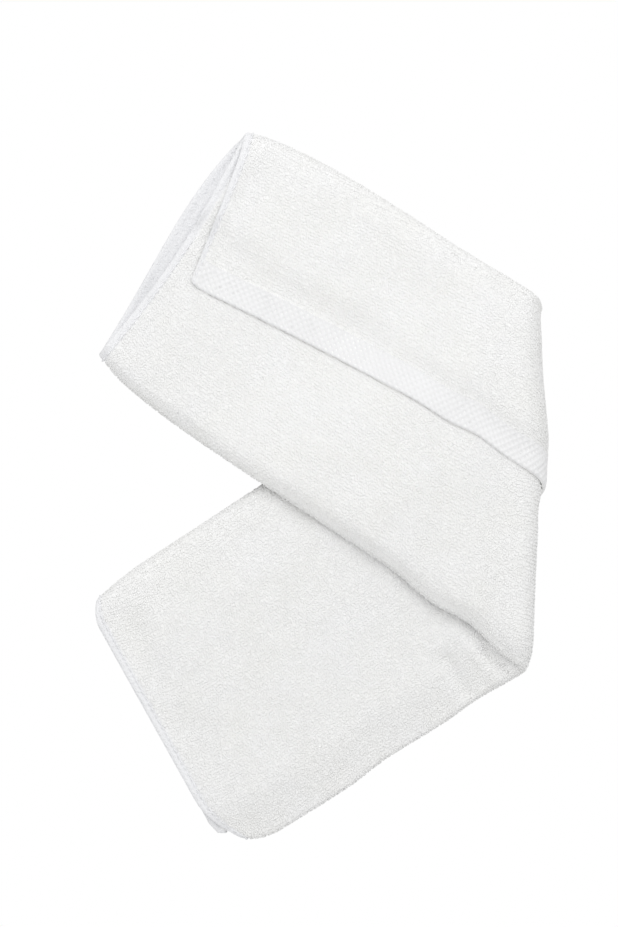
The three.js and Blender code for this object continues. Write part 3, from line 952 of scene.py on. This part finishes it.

# %% [markdown]
# ## Cotton
#
# All of the towel is the same cotton, so one shader group gives its tone to every finish: broad soft
# patches, where pile leans one way or the other, and fine flecks of yarn. It also puts out a height
# for the bump. The ground's finish takes the hems' colours where the skin's mask says so: the hems'
# own colour on the side hems, and painted shade in the wider strip that the mask marks on the inner
# face.

# %% Cotton's tone
# The noises' scale, detail and roughness. Each finish gives its own scale for the flecks.
PATCHES, FLECKS = (45.0, 3.0, 0.6), (2.0, 0.7)
FLECK_SHARE = 0.35
TONE_RANGE = {"From Min": 0.35, "From Max": 0.65}
COTTON_SURFACE = {"Roughness": 0.95, "Sheen Weight": 0.15, "Sheen Roughness": 0.6,
                  "Specular IOR Level": 0.1}
BUMP_STRENGTH = 0.6
PILE_LIGHT, PILE_SHADE = (0.99, 0.99, 0.99, 1), (0.975, 0.974, 0.96, 1)
HEM_LIGHT, HEM_SHADE = (0.95, 0.953, 0.968, 1), (0.885, 0.889, 0.905, 1)
BAND_LIGHT, BAND_SHADE = (0.905, 0.905, 0.91, 1), (0.865, 0.865, 0.87, 1)


def cotton_group():
    t = Tree(bpy.data.node_groups.new("Cotton tone", "ShaderNodeTree"))
    takes = {"Vector": "Vector", "Light": "Color", "Shade": "Color", "Flecks": "Float"}
    given = t.takes_and_gives(takes, {"Color": "Color", "Height": "Float"})
    patches, flecks = [t.out("ShaderNodeTexNoise", {
        "Vector": given["Vector"], "Scale": scale, "Detail": detail, "Roughness": roughness})
        for scale, detail, roughness in (PATCHES, (given["Flecks"], *FLECKS))]
    share = t.mix("FLOAT", FLECK_SHARE, patches, flecks)
    clear = t.out("ShaderNodeMapRange", {"Value": share, **TONE_RANGE})
    tone = t.mix("RGBA", clear, given["Shade"], given["Light"])
    t.add("NodeGroupOutput", {"Color": tone, "Height": flecks})
    return t.tree


COTTON = cotton_group()


def new_material(name):
    material = bpy.data.materials.new(name)
    material.use_nodes = True
    return material, Tree(material.node_tree)


def cotton_material(name, light, shade, flecks, bump, hem=False, soften=0.0):
    """A cotton finish. With hem it takes the hems' colours where the skin's mask says so: their own
    colour on the side hems, and painted shade in the wider strip on the inner face.
    Cotton yarn lets light through and glows in its own shade, so soften evens out its shading:
    it moves the normal by that share towards the normal of the cloth that the yarn stands on."""
    material, t = new_material(name)
    where = t.out("ShaderNodeTexCoord", output="Object")

    def cotton(light, shade):
        inputs = {"Vector": where, "Light": light, "Shade": shade, "Flecks": flecks}
        return t.add("ShaderNodeGroup", inputs, node_tree=COTTON).outputs

    tone = cotton(light, shade)
    colour = tone["Color"]
    # The hem mask mixes in the hems' colours: their own on the side hems, and painted shade in the
    # wider strip on the inner face.
    if hem:
        mask = t.out("ShaderNodeAttribute", output="Fac", attribute_name="hem")
        colour = t.mix("RGBA", mask, colour, cotton(HEM_LIGHT, HEM_SHADE)["Color"])
    normal = t.out("ShaderNodeBump", {
        "Height": tone["Height"], "Distance": bump, "Strength": BUMP_STRENGTH})
    if soften:
        stand = t.out("ShaderNodeAttribute", output="Vector", attribute_name="stand")
        between = t.mix("VECTOR", soften, normal, stand)
        normal = t.out("ShaderNodeVectorMath", {0: between}, operation="NORMALIZE")
    surface = {**COTTON_SURFACE, "Base Color": colour, "Normal": normal}
    t.fill(t.tree.nodes["Principled BSDF"], surface)
    return material


COARSE, FINE = {"flecks": 650.0, "bump": 0.002}, {"flecks": 1500.0, "bump": 0.0001}
TERRY = cotton_material("Terry ground", PILE_LIGHT, PILE_SHADE, **COARSE, hem=True)
LOOPS = cotton_material("Loop yarn", PILE_LIGHT, PILE_SHADE, **FINE, soften=0.5)
WOVEN = cotton_material("Woven band", BAND_LIGHT, BAND_SHADE, **FINE)
THREAD = cotton_material("Hem thread", HEM_LIGHT, HEM_SHADE, **FINE)
towel.data.materials.append(TERRY)
print("cotton finishes:", [finish.name for finish in (TERRY, LOOPS, WOVEN, THREAD)])

# %% [markdown]
# ### The loops as pieces
#
# A piece stays under 200,000 triangles, so the loops are divided by where they grow.

# %% Pile pieces
LOWER_END_TO, BEND_TO = 0.42, 2.25
station, flat_across = seeds["station"][:, 0], seeds["flat_across"][:, 0]
from_flap = flat_across < np.interp(station, STATIONS, HIGH_FOLD)
PILE_PARTS = {
    "pile_lower_end": station < LOWER_END_TO,
    "pile_lower_arm": (station >= LOWER_END_TO) & (station < 1),
    "pile_bend": (station >= 1) & (station < BEND_TO),
    "pile_upper_flap": (station >= BEND_TO) & from_flap,
    "pile_upper_cover": (station >= BEND_TO) & ~from_flap,
}
LOOP = {"Span": 1.1 * MM, "Height": 0.05 * MM, "Yarn": 1.05 * MM, "Lean": 0.15, "Turn": math.pi,
        "Least size": 0.9, "Most size": 1.1, "Finish": LOOPS}
pile_pieces = []
for part_seed, (name, kept) in enumerate(PILE_PARTS.items()):
    chosen = {key: values[kept] for key, values in seeds.items()}
    pile_pieces.append(arches(name, chosen, part_seed, LOOP))
print(f"{len(pile_pieces)} pile pieces")

# %% [markdown]
# ## Stitches in the side hems
#
# Each side hem is turned over and sewn down 3 mm from the edge, with a stitch every 3 mm. The
# stitches are the same arches, long and low, and they lie across the strip. Underneath, close to
# the floor, there are none.

# %% Stitches
STITCH_STEP, FIRST_STITCH, STITCH_FROM_END = 3.1, 1.5, HEM_WIDTH - 0.4
HEM_STATIONS, STITCHED_PAST_FOLD = np.arange(30), 75
FACING_DOWN, LEAST_HEIGHT = -0.3, 2
STITCH = {"Span": 2.3 * MM, "Height": 0.8 * MM, "Yarn": 0.9 * MM, "Lean": 0.06, "Turn": 0.2,
          "Least size": 0.92, "Most size": 1.08, "Finish": THREAD}


def hem_seeds(chosen):
    """Seeds in a row beside the end of the strip that the chosen stations are at."""
    runs = np.arange(FIRST_STITCH, LOW_FOLD[chosen[0]] + STITCHED_PAST_FOLD, STITCH_STEP)
    targets = at_every_station(runs)
    to_end = read_across(skin_values("outer", "to_end"), targets)[chosen]
    found = {}
    for key, table in (("place", OUTER), ("stand", NORMALS), ("lie", np.gradient(OUTER, axis=1))):
        values = read_across(table, targets)[chosen]
        found[key] = np.array([read_columns(STITCH_FROM_END, to_end[:, k], values[:, k])
                               for k in range(len(runs))])
    above_floor = (found["stand"][:, 2] > FACING_DOWN) | (found["place"][:, 2] > LEAST_HEIGHT)
    return {key: values[above_floor] for key, values in found.items()}


stitches = [arches(name, hem_seeds(chosen), part_seed, STITCH) for part_seed, (name, chosen) in
            enumerate((("hem_stitches", HEM_STATIONS),
                       ("mouth_stitches", len(STATIONS) - 1 - HEM_STATIONS)))]

# %% [markdown]
# ## The woven band
#
# Beside the free edge runs a band without pile, 13 mm wide, woven in a lattice of small diamonds.
# It could be a bump, but it is seen at its edge where it goes round the bend, so it is a fine grid
# on the flap, and a Geometry Nodes tree raises ridges along its two diagonals.

# %% Band grid
BAND_STEP, BAND_FROM = 0.42, 0.93
BAND_MARGIN, BAND_DEPTH, RELIEF_FADE = 0.2, 0.5, 0.5


def band_grid():
    """The grid's places, the way that each stands out, and where it lies on the flat band."""
    across = np.arange(BAND_MARGIN, BAND_WIDTH - BAND_MARGIN + 0.01, BAND_STEP)
    targets = at_every_station(across)
    tables = [read_across(table, targets)[STATIONS >= BAND_FROM] for table in (OUTER, NORMALS)]
    length = lengths_along(tables[0])
    share = np.linspace(0, 1, int(length[-1].mean() / BAND_STEP))
    grid, stands = [np.stack([read_columns(share * run[-1], run, table[:, column])
                              for column, run in enumerate(length.T)], axis=1)
                    for table in tables]
    flat = np.stack(np.broadcast_arrays(share[:, None] * length[-1].mean(), across), axis=-1)
    return grid, stands, flat


def band_object():
    """The grid, closed underneath by a strip that lies inside the cloth."""
    grid, stands, flat = band_grid()
    rows, columns = grid.shape[:2]
    under = (grid - BAND_DEPTH * stands)[:, [0, -1]]
    vertices = np.concatenate([grid.reshape(-1, 3), under.reshape(-1, 3)])
    ids = np.arange(rows * columns).reshape(rows, columns)
    low_ids = rows * columns + np.arange(rows * 2).reshape(rows, 2)

    def quads(a, b):
        return np.stack([a[:-1], b[:-1], b[1:], a[1:]], axis=-1).reshape(-1, 4).tolist()

    faces = []
    for column in range(columns - 1):
        faces += quads(ids[:, column + 1], ids[:, column])
    faces += quads(ids[:, 0], low_ids[:, 0])
    faces += quads(low_ids[:, 1], ids[:, -1])
    faces += quads(low_ids[:, 0], low_ids[:, 1])
    faces.append([*ids[0], low_ids[0, 1], low_ids[0, 0]])
    faces.append([*ids[-1][::-1], low_ids[-1, 0], low_ids[-1, 1]])
    piece = new_object("band_grid", vertices, faces)
    ends = np.minimum(flat[..., 0], flat[-1, 0, 0] - flat[..., 0])
    sides = np.minimum(flat[..., 1] - BAND_MARGIN, BAND_WIDTH - BAND_MARGIN - flat[..., 1])
    relief = smoothstep(np.minimum(ends, sides), 0, RELIEF_FADE)
    add_values(piece, "relief", np.pad(relief.ravel(), (0, rows * 2)))
    under_stands = np.tile(stands[:, :1], (1, 2, 1))
    both = np.concatenate([stands.reshape(-1, 3), under_stands.reshape(-1, 3)])
    add_values(piece, "stand", both, "FLOAT_VECTOR")
    places = np.pad(flat.reshape(-1, 2), ((0, rows * 2), (0, 1)))
    add_values(piece, "flat", places * MM, "FLOAT_VECTOR")
    return piece


# %% Lattice tree
def lattice_tree():
    t = Tree(bpy.data.node_groups.new("Raised lattice", "GeometryNodeTree"))
    sizes = dict.fromkeys(("Cell", "Height", "Ridge"), "Float")
    given = t.takes_and_gives({"Grid": "Geometry", **sizes, "Finish": "Material"},
                              {"Band": "Geometry"})
    place = t.add("ShaderNodeSeparateXYZ", {0: t.named("flat")}).outputs
    ridges = []
    for operation in ("ADD", "SUBTRACT"):
        diagonal = t.math(operation, place["X"], place["Y"])
        away = t.math("PINGPONG", t.math("DIVIDE", diagonal, given["Cell"]), 0.5)
        ridges.append(t.out("ShaderNodeMapRange", {
            "Value": away, "From Min": given["Ridge"], "From Max": 0.0},
            interpolation_type="SMOOTHSTEP"))
    raised = t.math("MULTIPLY", t.math("MAXIMUM", *ridges), t.named("relief", "FLOAT"))
    height = t.math("MULTIPLY", raised, given["Height"])
    offset = t.out("ShaderNodeVectorMath", {0: t.named("stand"), "Scale": height},
                   operation="SCALE")
    moved = t.out("GeometryNodeSetPosition", {"Geometry": given["Grid"], "Offset": offset})
    t.give("Band", moved, given["Finish"])
    return t.tree


band = made_by(lattice_tree(), band_object(), "woven_band", {
    "Cell": 3.3 * MM, "Height": 0.5 * MM, "Ridge": 0.3, "Finish": WOVEN})

# %% [markdown]
# ## Floor, light and camera
#
# The towel lies on plain white. The room lights it evenly from all sides, and one soft lamp near
# the top of the picture adds a little. The camera looks straight down from far away with a long
# lens, as for a product picture.

# %% Floor
FLOOR_HALF = 3000
FLOOR_TONE = 0.85


def white_floor():
    """A pale floor. The camera sees it overexposed to plain white, as the photograph does."""
    corners = np.array([(-1, -1, 0), (1, -1, 0), (1, 1, 0), (-1, 1, 0)])
    piece = new_object("floor", corners * FLOOR_HALF, [[0, 1, 2, 3]])
    material, t = new_material("White floor")
    pale = t.tree.nodes["Principled BSDF"]
    t.fill(pale, {"Base Color": (FLOOR_TONE, FLOOR_TONE, FLOOR_TONE, 1), "Roughness": 1.0})
    seen = t.out("ShaderNodeLightPath", output="Is Camera Ray")
    bright = t.out("ShaderNodeEmission")
    either = t.out("ShaderNodeMixShader", {0: seen, 1: pale.outputs[0], 2: bright})
    t.fill(t.tree.nodes["Material Output"], {"Surface": either})
    piece.data.materials.append(material)
    return piece


floor = white_floor()

# %% Light
ROOM_LIGHT = 0.76
LAMP_PLACE, LAMP_SIZE, LAMP_WATTS = (0.02, 0.5, 0.95), 0.9, 4.0

world = bpy.data.worlds.new("Soft room")
world.use_nodes = True
background = world.node_tree.nodes["Background"]
background.inputs["Color"].default_value = (1, 1, 1, 1)
background.inputs["Strength"].default_value = ROOM_LIGHT
bpy.context.scene.world = world

light = bpy.data.lights.new("Key", "AREA")
light.shape = "SQUARE"
light.size = LAMP_SIZE
light.energy = LAMP_WATTS
lamp = put_in_scene("Key", light)
lamp.location = LAMP_PLACE
lamp.rotation_mode = "QUATERNION"
lamp.rotation_quaternion = lamp.location.to_track_quat("Z", "Y")

# %% Camera
MM_PER_PIXEL, IMAGE_HEIGHT = 0.465, 927
VIEW_CENTRE = (-5.8, 10.5)
CAMERA_HEIGHT, MIDDLE_HEIGHT = 3000, 7
SENSOR = 36
NEAREST, FARTHEST = 0.1, 20

camera_data = bpy.data.cameras.new("Camera")
camera_data.sensor_width = SENSOR
camera_data.lens = SENSOR * (CAMERA_HEIGHT - MIDDLE_HEIGHT) / (MM_PER_PIXEL * IMAGE_HEIGHT)
camera_data.clip_start, camera_data.clip_end = NEAREST, FARTHEST
camera = put_in_scene("Camera", camera_data)
camera.location = (VIEW_CENTRE[0] * MM, VIEW_CENTRE[1] * MM, CAMERA_HEIGHT * MM)
bpy.context.scene.camera = camera
bpy.context.scene.view_settings.view_transform = "Standard"
print(f"lens: {camera_data.lens:.0f} mm")

# %% [markdown]
# ## The pieces on the towel's body
#
# Each piece rides on the towel's one body: the skin, and the pile, band and stitches on it. The skin
# takes the place of the plain solid, which is hidden.

# %% Pieces on the body
on_towel = [*pile_pieces, *stitches, band]
for piece in (towel, *on_towel):
    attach(piece, "root")
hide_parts("towel")
